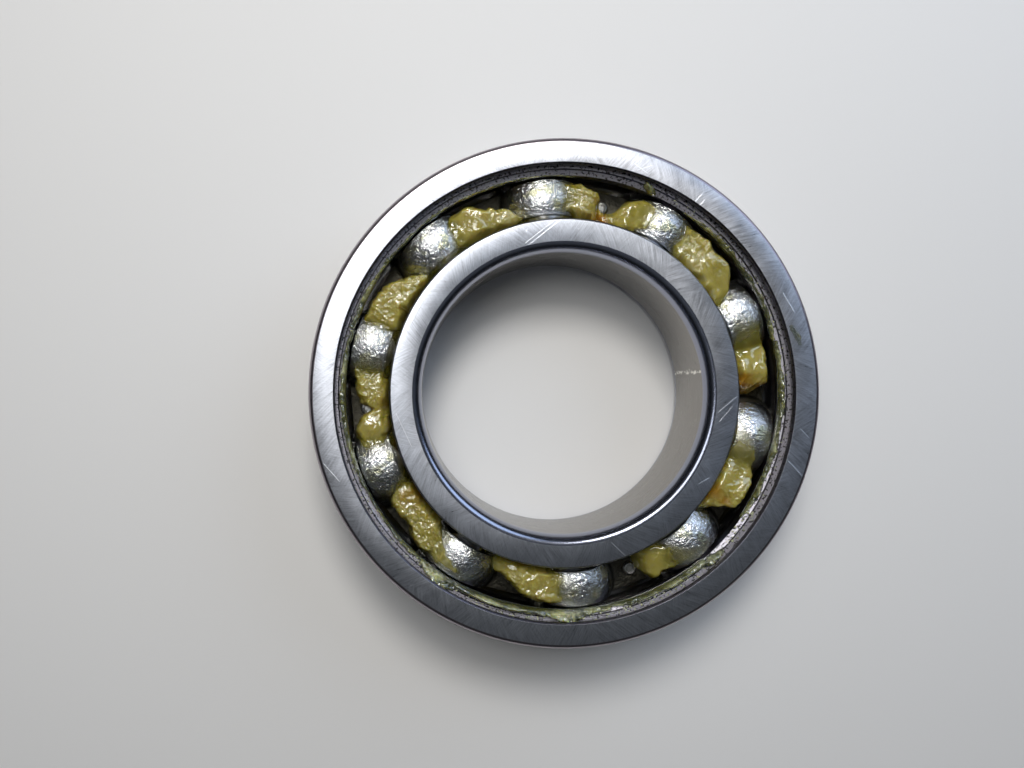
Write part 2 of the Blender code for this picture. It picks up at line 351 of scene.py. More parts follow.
def turned(name, points, finishes, materials, segments=RING_SEGMENTS):
    """A closed outline turned about the Z axis. A point on the axis becomes one pole."""
    verts, faces, kinds = [], [], []
    count = len(points)

    def vertex(s, i):
        return i if points[i].x == 0 else s % segments * count + i

    for s in range(segments):
        turn = 2 * pi * s / segments
        verts += [(p.x * cos(turn), p.x * sin(turn), p.y) for p in points]
        for i in range(count):
            j = (i + 1) % count
            face = list(dict.fromkeys((vertex(s, i), vertex(s, j), vertex(s + 1, j), vertex(s + 1, i))))
            if len(face) > 2:
                faces.append(face)
                kinds.append(finishes[i])
    return mesh_object(name, verts, faces, materials, kinds)


def rounded_edge(edge_radius, radial, axial, finish, steps=8):
    """The large rounded chamfer between a ring's cylinder and its front face, cylinder first."""
    corner = []
    for k in range(steps):
        turn = 0.5 * pi * k / steps
        r = edge_radius - radial * (1 - cos(turn))
        z = HALF_WIDTH - axial * (1 - sin(turn))
        corner.append((r, z, 0, finish))
    return corner


def raceway(deepest, side, land_radius, finish, steps=14):
    """The front half of a ball groove, from the land to its deepest point. side is 1 in the
    outer ring and -1 in the inner ring."""
    centre = deepest - side * GROOVE_RADIUS
    reach = acos(abs(land_radius - centre) / GROOVE_RADIUS)
    turns = [reach * (1 - k / steps) for k in range(steps + 1)]
    return [(centre + side * GROOVE_RADIUS * cos(t), GROOVE_RADIUS * sin(t), 0, finish) for t in turns]


GROUND, CHAMFER, RECESS, RACEWAY, CYLINDER, SHELF = range(6)
outer_scratches = [
    ((22.6, 33.2), (24.3, 35.0), 0.16),
    ((23.5, 32.6), (24.7, 34.0), 0.12),
    ((12.4, 38.9), (15.6, 39.9), 0.10),
    ((12.0, 40.3), (14.8, 38.2), 0.10),
    ((38.9, -11.6), (41.8, -14.8), 0.14),
    ((38.0, 17.8), (40.3, 13.9), 0.10),
    ((-39.2, -15.6), (-42.4, -12.0), 0.12),
    ((41.0, -6.0), (42.9, -8.0), 0.12),
]
outer_finishes = [
    ground_face("outer_ring_ground_face", (0.47, 0.48, 0.51), 0.33, outer_scratches),
    # The chamfer's tone is darker and tinted purple-brown: a painted reflection of the dim surround it
    # faces.
    turned_steel("outer_ring_chamfer", (0.36, 0.32, 0.35), 0.30, 0.3),
    # The recess carries dark specks of dirt, and its tone is set darker than the steel as painted shade
    # in the groove.
    turned_steel("outer_ring_recess", (0.15, 0.142, 0.168), 0.34, 0.9, pitch=4.0, depth=0.006),
    turned_steel("outer_ring_raceway", (0.62, 0.61, 0.60), 0.16, 0.2),
    turned_steel("outer_ring_outside", (0.50, 0.50, 0.53), 0.26, 0.25, pitch=9.0),
    turned_steel("outer_ring_shelf", (0.54, 0.52, 0.57), 0.44, 1.0, pitch=3.0, depth=0.08,
                 metallic=0.85),
]
front = [
    *rounded_edge(OUTER_RADIUS, OUTER_CHAMFER_RADIAL, OUTER_CHAMFER_AXIAL, CHAMFER),
    (OUTER_RADIUS - OUTER_CHAMFER_RADIAL, HALF_WIDTH, 0, GROUND),
    (FACE_INNER_RADIUS, HALF_WIDTH, 0.07, RECESS),
    (LIP_RADIUS, LIP_EDGE, 0.06, RECESS),
    (LIP_RADIUS, LIP_FOOT, 0.10, RECESS),
    (GROOVE_BACK, GROOVE_TOP, 0.12, RECESS),
    (GROOVE_BACK, SHELF_HEIGHT, 0.25, SHELF),
    (SHELF_INNER, SHELF_HEIGHT, 0.06, RECESS),
    (SLOPE_OUTER, SLOPE_TOP, 0.06, SHELF),
    (OUTER_LAND_RADIUS, SLOPE_FOOT, 0.15, RECESS),
    *raceway(PITCH_RADIUS + BALL_RADIUS + BALL_CLEARANCE, 1, OUTER_LAND_RADIUS, RACEWAY),
]
outline = both_sides(*rounded(front), CYLINDER)
outer_ring = turned("outer_ring_fine", *outline, outer_finishes)
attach(outer_ring, "outer")
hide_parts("outer_ring")


# ---------------------------------------------------------------------------------------------
# Inner ring. The same steel, ground on its faces and honed in the bore, with a large rounded
# chamfer at each end of the bore to lead it onto the shaft. It turns in the outer ring.

BORE_RADIUS = 25.0
BORE_CHAMFER_RADIAL = 1.65
BORE_CHAMFER_AXIAL = 2.5
INNER_LAND_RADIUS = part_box("inner_ring")[1].x / MM
INNER_EDGE = 0.3

inner_scratches = [
    ((-0.7, 30.3), (-6.6, 25.6), 0.10),
    ((-1.4, 30.5), (-7.2, 25.9), 0.08),
    ((8.0, -25.9), (11.0, -28.8), 0.12),
    ((26.6, -3.6), (30.3, -0.4), 0.12),
    ((26.9, -5.2), (29.6, -2.0), 0.09),
    ((-29.6, -3.2), (-26.6, -9.6), 0.08),
    ((-24.0, 17.5), (-26.8, 12.2), 0.09),
    ((25.6, -14.6), (23.2, -16.0), 0.14),
]
inner_finishes = [
    ground_face("inner_ring_ground_face", (0.42, 0.435, 0.47), 0.33, inner_scratches),
    turned_steel("inner_ring_chamfer", (0.34, 0.36, 0.44), 0.21, 0.2),
    turned_steel("inner_ring_shoulder", (0.40, 0.40, 0.42), 0.30, 0.4),
    turned_steel("inner_ring_raceway", (0.62, 0.61, 0.60), 0.16, 0.2),
    # The bore's tone is set darker than honed steel: painted shade for the shade and dark reflections
    # inside the bore.
    turned_steel("inner_ring_bore", (0.31, 0.297, 0.28), 0.26, 0.15, pitch=9.0, fretted=radians(10)),
]
SHOULDER = RECESS
front = [
    *rounded_edge(BORE_RADIUS, -BORE_CHAMFER_RADIAL, BORE_CHAMFER_AXIAL, CHAMFER),
    (BORE_RADIUS + BORE_CHAMFER_RADIAL, HALF_WIDTH, 0, GROUND),
    (INNER_LAND_RADIUS - INNER_EDGE, HALF_WIDTH, 0.08, SHOULDER),
    (INNER_LAND_RADIUS, HALF_WIDTH - INNER_EDGE, 0.10, SHOULDER),
    *raceway(PITCH_RADIUS - BALL_RADIUS - BALL_CLEARANCE, -1, INNER_LAND_RADIUS, RACEWAY),
]
outline = both_sides(*rounded(front), CYLINDER)
inner_ring = turned("inner_ring_fine", *outline, inner_finishes)
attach(inner_ring, "inner")
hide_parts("inner_ring")


# ---------------------------------------------------------------------------------------------
# Balls. Lapped and polished bearing steel, each under a thin film of grease. Each turns in its
# own pocket, so each is a piece of its own.

BALL_COUNT = 10
FIRST_BALL = radians(22.5)
PITCH_STEP = 2 * pi / BALL_COUNT


def start_tree(name, inputs):
    """The nodes of a new Geometry Nodes tree, and the values of its inputs. It takes these, each
    a label and a kind, and a finish."""
    tree = bpy.data.node_groups.new(name, "GeometryNodeTree")
    tree.is_modifier = True
    for label, kind in {**inputs, "Finish": "NodeSocketMaterial"}.items():
        tree.interface.new_socket(label, in_out="INPUT", socket_type=kind)
    tree.interface.new_socket("Mesh", in_out="OUTPUT", socket_type="NodeSocketGeometry")
    nodes = Nodes(tree)
    return nodes, nodes.node("NodeGroupInput")


def end_tree(nodes, given, place, **instance):
    """Ends a tree with a copy of something at each place, made real and given its finish."""
    points = nodes.first("GeometryNodePoints", Count=given["Count"])
    points = nodes.first("GeometryNodeSetPosition", Geometry=points, Position=place)
    copies = nodes.first("GeometryNodeInstanceOnPoints", Points=points, **instance)
    real = nodes.first("GeometryNodeRealizeInstances", Geometry=copies)
    done = nodes.first("GeometryNodeSetMaterial", Geometry=real, Material=given["Finish"])
    nodes.node("NodeGroupOutput", inputs={"Mesh": done})
    return nodes.tree


def copies_on_circle(name):
    """A tree that repeats its object's mesh round a circle, from the first angle on."""
    nodes, given = start_tree(name, {
        "Mesh": "NodeSocketGeometry", "Count": "NodeSocketInt",
        "Circle Radius": "NodeSocketFloat", "First Angle": "NodeSocketFloat"})
    turn = nodes.first("GeometryNodeInputIndex") * (2 * pi) / given["Count"] + given["First Angle"]
    place = nodes.polar(turn, given["Circle Radius"])
    return end_tree(nodes, given, place, Instance=given["Mesh"], Rotation=nodes.vector(Z=turn))


def keep_result(obj):
    """Gives an object what its modifiers make of it as its plain mesh."""
    graph = bpy.context.evaluated_depsgraph_get()
    mesh = bpy.data.meshes.new_from_object(obj.evaluated_get(graph), depsgraph=graph)
    obj.modifiers.clear()
    obj.data = mesh
    return obj


def apply_tree(obj, tree, **values):
    """Runs a tree on an object with these inputs and keeps the result."""
    modifier = obj.modifiers.new(tree.name, "NODES")
    modifier.node_group = tree
    for item in tree.interface.items_tree:
        label = item.name.replace(" ", "_").lower()
        if item.in_out == "INPUT" and label in values:
            modifier[item.identifier] = values[label]
    return keep_result(obj)


def from_bmesh(name, bm):
    mesh = bpy.data.meshes.new(name)
    bm.to_mesh(mesh)
    bm.free()
    return add_object(name, mesh)


round_copies = copies_on_circle("copies_on_circle")
finish = Finish("ball_polished", Metallic=1.0)
film = finish.noise(0.5, 3.0)
ball_colour = finish.mix(finish.band(film, 0.45, 0.7), rgb(0.74, 0.75, 0.77), rgb(0.52, 0.48, 0.26))
ball_finish = finish.plug(
    Base_Color=ball_colour,
    Roughness=film * 0.15 + 0.02,
    Normal=finish.bump(finish.noise(0.8, 2.0), 0.02),
)
for k in range(BALL_COUNT):
    bm = bmesh.new()
    bmesh.ops.create_uvsphere(bm, u_segments=64, v_segments=32, radius=BALL_RADIUS * MM)
    ball = from_bmesh(f"ball_{k + 1:02d}_fine", bm)
    ball.data.shade_smooth()
    apply_tree(ball, round_copies, count=1, circle_radius=PITCH_RADIUS * MM,
               first_angle=FIRST_BALL + k * PITCH_STEP, finish=ball_finish)
    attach(ball, f"ball_{k + 1:02d}")
    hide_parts(f"ball_{k + 1:02d}")


# ---------------------------------------------------------------------------------------------
# Cage. Two ribbons pressed from steel sheet, with a domed pocket for each ball and a flat web
# between. The domes carry a crinkled film of grease, so they glitter like foil.

SHEET = 1.2
HALVES_GAP = 0.1
POCKET_INNER = BALL_RADIUS + 0.2
POCKET_OUTER = POCKET_INNER + SHEET
POCKET_FILLET = 0.8
WEB_TOP = 0.5 * HALVES_GAP + SHEET
RIBBON_INNER = 32.0
RIBBON_OUTER = 38.3
RIVET_CIRCLE = 0.5 * (RIBBON_INNER + RIBBON_OUTER)
HOLE_RADIUS = 0.95
SHEARED_EDGE = 0.1
FIRST_RIVET = FIRST_BALL + 0.5 * PITCH_STEP


def pocket_line(ring_radius, pocket, fillet, web, arc_steps=18, fillet_steps=6):
    """Points once round the ribbon at one radius: over each dome and along each web."""
    section = sqrt(pocket ** 2 - (ring_radius - PITCH_RADIUS) ** 2)
    rise = web + fillet
    run = sqrt((section + fillet) ** 2 - rise ** 2)
    flank = atan2(run, rise)
    half = []
    for i in range(arc_steps + 1):
        turn = flank * i / arc_steps
        half.append((section * sin(turn), section * cos(turn)))
    for i in range(1, fillet_steps + 1):
        turn = flank * (1 - i / fillet_steps)
        half.append((run - fillet * sin(turn), rise - fillet * cos(turn)))
    line = []
    for k in range(BALL_COUNT):
        middle = FIRST_BALL + k * PITCH_STEP
        for side, chord, height in [(-1, *p) for p in reversed(half)] + [(1, *p) for p in half[1:]]:
            turn = middle + side * 2 * asin(chord / (2 * sqrt(ring_radius * PITCH_RADIUS)))
            line.append((ring_radius * cos(turn), ring_radius * sin(turn), height))
    return line


def cage_half(name, side, material):
    radii = np.linspace(RIBBON_INNER, RIBBON_OUTER, 11)
    under = [pocket_line(r, POCKET_INNER, POCKET_FILLET + SHEET, 0.5 * HALVES_GAP) for r in radii]
    over = [pocket_line(r, POCKET_OUTER, POCKET_FILLET, WEB_TOP) for r in reversed(radii)]
    rows = under + over
    count = len(rows[0])
    verts = [(x, y, side * z) for row in rows for x, y, z in row]
    faces = []
    for a in range(len(rows)):
        b = (a + 1) % len(rows)
        for i in range(count):
            j = (i + 1) % count
            faces.append((a * count + i, a * count + j, b * count + j, b * count + i))
    half = mesh_object(name, verts, faces, [material])
    holes = half.modifiers.new("rivet_holes", "BOOLEAN")
    holes.operation = "DIFFERENCE"
    holes.object = hole_pins
    edges = half.modifiers.new("sheared_edges", "BEVEL")
    edges.width = SHEARED_EDGE * MM
    edges.segments = 2
    edges.limit_method = "ANGLE"
    edges.angle_limit = radians(50)
    return keep_result(half)


finish = Finish("cage_foil", Metallic=1.0)
broad = finish.noise(0.45, 2.0)
crinkle = finish.noise(1.5, 3.0, stretch=0.6)
fine = finish.noise(4.5, 2.0, stretch=0.4)
stain = finish.band(finish.noise(0.33, 3.0), 0.52, 0.68)
# Painted shade: low down, on the webs between the domes, the colour goes nearly black for the shade that
# falls there, and in part for their dark film of grease.
low = 1.0 - finish.band(finish.z.maths("ABSOLUTE"), 1.6, 5.2)
colour = finish.mix(finish.band(fine, 0.35, 0.65), rgb(0.60, 0.61, 0.60), rgb(0.90, 0.91, 0.91))
colour = finish.mix(stain * 0.5, colour, rgb(0.45, 0.44, 0.14))
colour = finish.mix(low * 0.96, colour, rgb(0.045, 0.04, 0.025))
normal = finish.bump(broad, 0.12)
normal = finish.bump(crinkle, 0.24, under=normal)
normal = finish.bump(fine, 0.075, under=normal)
cage_finish = finish.plug(
    Base_Color=colour,
    Roughness=crinkle * 0.14 + low * 0.25 + 0.15,
    Normal=normal,
)
bm = bmesh.new()
bmesh.ops.create_cone(bm, cap_ends=True, segments=32, radius1=HOLE_RADIUS * MM,
                      radius2=HOLE_RADIUS * MM, depth=6 * SHEET * MM)
hole_pins = from_bmesh("hole_pins", bm)
apply_tree(hole_pins, round_copies, count=BALL_COUNT, circle_radius=RIVET_CIRCLE * MM,
           first_angle=FIRST_RIVET, finish=cage_finish)
for name, side in (("cage_front", 1), ("cage_rear", -1)):
    half = cage_half(name + "_fine", side, cage_finish)
    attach(half, "cage")
    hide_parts(name)
bpy.data.objects.remove(hole_pins, do_unlink=True)


# ---------------------------------------------------------------------------------------------
# Rivets. Soft steel, one in each web, closed by a low round head on both sides.

RIVET_RADIUS = 0.85
HEAD_RADIUS = 1.25
HEAD_HEIGHT = 0.7
HEAD_SEAT = WEB_TOP + 0.05

finish = Finish("rivet_steel", Metallic=1.0)
worn = finish.noise(2.5, 3.0)
rivet_finish = finish.plug(
    Base_Color=finish.mix(worn, rgb(0.36, 0.36, 0.34), rgb(0.62, 0.62, 0.58)),
    Roughness=worn * 0.2 + 0.2,
    Normal=finish.bump(worn, 0.03),
)
rivet_front = [
    (0.0, HEAD_SEAT + 0.85 * HEAD_HEIGHT, 0, GROUND),
    (0.55, HEAD_SEAT + 0.82 * HEAD_HEIGHT, 0, GROUND),
    (0.72, HEAD_SEAT + HEAD_HEIGHT, 0, GROUND),
    (0.95, HEAD_SEAT + 0.95 * HEAD_HEIGHT, 0, GROUND),
    (HEAD_RADIUS, HEAD_SEAT + 0.55 * HEAD_HEIGHT, 0.25, GROUND),
    (HEAD_RADIUS, HEAD_SEAT, 0.08, GROUND),
    (RIVET_RADIUS, HEAD_SEAT, 0, GROUND),
    (RIVET_RADIUS, 0, 0, GROUND),
]
points, finishes = both_sides(*rounded(rivet_front), GROUND)
rivets = turned("rivets_fine", points, finishes, [rivet_finish], 32)
apply_tree(rivets, round_copies, count=BALL_COUNT, circle_radius=RIVET_CIRCLE * MM,
           first_angle=FIRST_RIVET, finish=rivet_finish)
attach(rivets, "cage")
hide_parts(*(f"rivet_{k + 1:02d}" for k in range(BALL_COUNT)))


# ---------------------------------------------------------------------------------------------
# Rear seal. A ring of nitrile rubber moulded over a pressed steel washer, snapped into the rear
# groove of the outer ring. Its thin inner edge runs close to the inner ring's land.

seal_low, seal_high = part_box("rear_seal_rubber")
insert_low, insert_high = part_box("rear_seal_insert")
SEAL_BEAD = seal_high.x / MM
SEAL_NECK = SEAL_BEAD - 0.7
SEAL_FACE = -seal_low.z / MM
SEAL_FOOT = -seal_high.z / MM
SEAL_LIP = INNER_LAND_RADIUS + 0.12
INSERT_FACE = -insert_low.z / MM
INSERT_BACK = -insert_high.z / MM
INSERT_OUTER = insert_high.x / MM
INSERT_INNER = SEAL_LIP + 1.3
INSERT_GAP = 0.05
LIP_RIM = 0.45
SEAL_HOLLOW = SEAL_FACE - 0.18

seal_front = [
    (SEAL_LIP, INSERT_FACE + 0.2, 0.08, 0),
    (SEAL_LIP + LIP_RIM, SEAL_FACE, 0.15, 0),
    (INSERT_INNER + 0.5, SEAL_FACE, 0.10, 0),
    (INSERT_INNER + 0.8, SEAL_HOLLOW, 0.10, 0),
    (INSERT_OUTER - 1.0, SEAL_HOLLOW, 0.10, 0),
    (INSERT_OUTER - 0.7, SEAL_FACE, 0.10, 0),
    (SEAL_NECK - LIP_RIM, SEAL_FACE, 0.15, 0),
    (SEAL_NECK, SEAL_FACE - 0.67, 0.10, 0),
    (SEAL_BEAD, SEAL_FOOT + 0.45, 0.12, 0),
    (SEAL_BEAD, SEAL_FOOT + 0.15, 0.12, 0),
    (SEAL_NECK, SEAL_FOOT, 0.15, 0),
    (INSERT_OUTER + INSERT_GAP, SEAL_FOOT, 0.08, 0),
    (INSERT_OUTER + INSERT_GAP, INSERT_FACE + INSERT_GAP, 0, 0),
    (INSERT_INNER - INSERT_GAP, INSERT_FACE + INSERT_GAP, 0, 0),
    (INSERT_INNER - INSERT_GAP, INSERT_BACK, 0.05, 0),
    (SEAL_LIP + LIP_RIM, INSERT_BACK, 0.10, 0),
    (SEAL_LIP, INSERT_FACE - 0.1, 0.05, 0),
]
finish = Finish("seal_rubber", Metallic=0.0)
mould = finish.noise(0.6, 3.0)
pores = finish.noise(7.0, 2.0)
seal_finish = finish.plug(
    Base_Color=finish.mix(mould, rgb(0.014, 0.014, 0.015), rgb(0.035, 0.034, 0.034)),
    Roughness=pores * 0.15 + 0.42,
    Normal=finish.bump(pores, 0.02),
)
points, finishes = rounded(seal_front)
seal = turned("rear_seal_rubber_fine", mirrored(points), finishes, [seal_finish])
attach(seal, "outer")
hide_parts("rear_seal_rubber")

insert_front = [
    (INSERT_INNER, INSERT_FACE, 0.10, 0),
    (INSERT_OUTER, INSERT_FACE, 0.10, 0),
    (INSERT_OUTER, INSERT_BACK, 0.10, 0),
    (INSERT_INNER, INSERT_BACK, 0.10, 0),
]
insert_finish = turned_steel("seal_insert_steel", (0.48, 0.47, 0.45), 0.34, 0.5, pitch=1.5)
points, finishes = rounded(insert_front)
insert = turned("rear_seal_insert_fine", mirrored(points), finishes, [insert_finish])
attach(insert, "outer")
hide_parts("rear_seal_insert")


# ---------------------------------------------------------------------------------------------
# Grease between the balls. A yellow lithium grease, packed in by hand and squeezed up between
# the domes, so each gap holds a heap of its own shape. It is carried round by the cage.

GREASE_INNER = INNER_LAND_RADIUS + 0.15
GREASE_OUTER = RIBBON_OUTER + 0.05
GREASE_STEP = 0.11
CREST_ROUND = 1.8
CREST_LIFT = 0.1
SKIRT = 0.15
BLEND_WIDTH = 0.8
THICKNESS_LIMIT = 3
LEAST_WIDTH = 0.05
MM_PER_DEGREE = 0.61


def cage_top(turn, r):
    """Height of the cage's upper surface over each point: a dome or the web between."""
    off = (turn - FIRST_BALL + 0.5 * PITCH_STEP) % PITCH_STEP - 0.5 * PITCH_STEP
    beside = r ** 2 + PITCH_RADIUS ** 2 - 2 * r * PITCH_RADIUS * np.cos(off)
    return np.maximum(np.sqrt(np.maximum(POCKET_OUTER ** 2 - beside, 0)), WEB_TOP)


def eased(at, stations, column):
    """A value that passes smoothly from station to station, averaged over a little of the way."""
    places = [s[0] for s in stations]
    values = [s[column] for s in stations]
    spans = np.linspace(-1.8, 1.8, 9)
    weights = np.exp(-(spans ** 2))
    return sum(w * np.interp(at + s, places, values) for s, w in zip(spans, weights)) / weights.sum()


def lumps(x, y, size, seed):
    """Smooth noise from about -1 to 1 with features of a size in millimetres."""
    places = np.stack([x / size, y / size, np.full_like(x, 7.3 * seed)], -1).reshape(-1, 3)
    return np.array([noise.noise(p) for p in places.tolist()]).reshape(x.shape)


def smooth_max(a, b, width):
    share = np.clip(0.5 + 0.5 * (a - b) / width, 0, 1)
    return b * (1 - share) + a * share + width * share * (1 - share)


def closed_sheet(name, x, y, top, bottom, finish):
    """A solid between two surfaces over one grid of points."""
    upper = np.stack([x, y, top], -1).reshape(-1, 3)
    lower = np.stack([x, y, bottom], -1).reshape(-1, 3)
    verts = np.concatenate([upper, lower]).tolist()
    ids = np.arange(top.size).reshape(top.shape)
    a, b, c, d = (ids[:-1, :-1], ids[1:, :-1], ids[1:, 1:], ids[:-1, 1:])
    faces = np.stack([a, b, c, d], -1).reshape(-1, 4).tolist()
    faces += (np.stack([d, c, b, a], -1).reshape(-1, 4) + top.size).tolist()
    rim = [*ids[0, :-1], *ids[:-1, -1], *ids[-1, :0:-1], *ids[:0:-1, 0]]
    for here, there in zip(rim, rim[1:] + rim[:1]):
        faces.append((int(here), int(there), int(there) + top.size, int(here) + top.size))
    return mesh_object(name, verts, faces, [finish], sharp=radians(180))


def grease_heap(name, stations, under, seed, finish, sink, limits, torn=0.0, swell=0.38,
                round_off=CREST_ROUND):
    """A closed heap of grease. A station is (angle in degrees, inner radius, outer radius, crest
    height, film over what lies beneath, warmth, pebbling); under gives the height beneath."""
    first, last = stations[0][0], stations[-1][0]
    span = limits[1] - limits[0]
    middle_radius = 0.5 * (limits[0] + limits[1])
    across = max(8, int(span / GREASE_STEP))
    along = int(radians(last - first) * middle_radius / GREASE_STEP)
    angle = np.linspace(first, last, along + 1)[:, None]
    share = np.linspace(0, 1, across + 1)[None, :]
    inner, outer, crest, film, warmth, pebbles = (eased(angle, stations, c) for c in range(1, 7))

    # Both edges wander within the limits. An inner edge that starts on its limit keeps to it.
    reach = min(0.55, 0.3 * span / 2)
    along_edge = angle * MM_PER_DEGREE
    wander = lumps(along_edge, angle * 0 + 3.0, 2.4, seed) * reach
    wander = wander + lumps(along_edge, angle * 0 + 9.0, 0.8, seed) * 0.4 * reach
    kept = inner <= limits[0] + LEAST_WIDTH
    inner = np.where(kept, limits[0], np.maximum(inner + wander, limits[0]))
    outer = np.clip(outer + wander[::-1], inner + LEAST_WIDTH, limits[1])
    r = inner + (outer - inner) * share
    turn = np.radians(angle) + 0 * r
    x, y = r * np.cos(turn), r * np.sin(turn)

    # The heap rounds off towards a ragged edge: near is 0 on the edge and 1 well inside it.
    base = under(turn, r)
    from_edge = np.minimum(share, 1 - share) * (outer - inner)
    from_end = np.radians(np.minimum(angle - first, last - angle)) * r
    ragged = 0.30 * lumps(x, y, 1.8, seed + 240) + 0.07 * lumps(x, y, 0.7, seed + 260)
    near = np.minimum(from_edge, from_end)
    near = np.clip((near + np.minimum(near, 1) * 2 * ragged) / round_off, 0, 1)
    body_share = np.sqrt(1 - (1 - near) ** 2)
    feather = np.minimum(1.6 * near, 1)

    # Its surface swells broadly, and where it is pebbled it is folded, grained and pitted too.
    big = lumps(x, y, 3.2, seed) * 0.9 + lumps(x, y, 1.7, seed + 40) * 0.55
    folds = 1 - np.abs(lumps(x + 0.8 * big, y - 0.8 * big, 1.5, seed + 80)) * 2.4
    folds = np.clip(folds, 0, 1) ** 2
    grain = lumps(x, y, 0.62, seed + 120)
    fine = lumps(x, y, 0.33, seed + 160)
    outward = 0.35 + 0.9 * share
    relief = swell * (big + pebbles * outward * (0.80 * folds + 0.62 * grain + 0.38 * fine))

    # It is the higher of a body with its own crest and a film that follows what lies beneath.
    tears = torn * lumps(x, y, 0.9, seed + 200)
    crest = crest + relief + tears
    film = film + 0.25 * relief + tears
    foot = float(base.min())
    heap = foot + (crest + CREST_LIFT - foot) * body_share
    skin = base - SKIRT + (film + SKIRT) * feather
    top = smooth_max(heap, skin, BLEND_WIDTH)
    top = np.where(body_share == 0, base - SKIRT, top)
    obj = closed_sheet(name, x, y, top, np.minimum(top, base) - sink, finish)
    layers = {
        "warmth": warmth * (1.35 - 0.9 * share),
        "thickness": np.clip(top - base, 0, THICKNESS_LIMIT),
        "pebbling": pebbles * outward,
        "ridge": relief,
    }
    for label, values in layers.items():
        layer = obj.data.attributes.new(label, "FLOAT", "POINT")
        layer.data.foreach_set("value", np.concatenate([values.ravel()] * 2).astype(np.float32))
    return obj


def grease_finish(name, thin, full, warm, roughness, clear, clouds=0.4, wrinkle=0.16):
    """Translucent grease: darker where thin, warmer where it has aged, and painted lighter on its raised
    ridges, a painted sheen.
    """
    finish = Finish(name, Subsurface_Weight=1.0, Subsurface_Radius=(1.0, 0.8, 0.2),
                    Subsurface_Scale=2.2 * MM, Transmission_Weight=0.4, IOR=1.5, Specular_IOR_Level=0.8,
                    Coat_Weight=1.0, Coat_IOR=1.8, Coat_Roughness=0.04)
    warmth, thickness, ridge, pebbling = map(
        finish.layer, ("warmth", "thickness", "ridge", "pebbling"))
    cloud = finish.noise(clouds, 2.0)
    region = finish.noise(0.09, 1.0)
    # The colour is fuller where the grease is thick and clouded, and lighter on the raised ridges: a
    # painted sheen.
    fullness_and_ridge_sheen = finish.band(thickness * 0.3 + cloud * 0.7 + region * 0.8 + ridge * 0.9 - 0.85, 0.0, 0.95)
    colour = finish.mix(fullness_and_ridge_sheen, rgb(*thin), rgb(*full))
    colour = finish.mix(finish.band(warmth + (cloud - 0.5) * 0.9, 0.3, 0.9), colour, rgb(*warm))
    wrinkles = finish.noise(3.0, 3.0, stretch=1.0) * (pebbling * 0.9 + 0.10)
    return finish.plug(
        Base_Color=colour,
        Roughness=cloud * 0.10 + roughness,
        Alpha=finish.band(thickness, 0.3 * clear - 0.2, clear) * 0.92 + 0.08,
        Normal=finish.bump(wrinkles, wrinkle),
    )


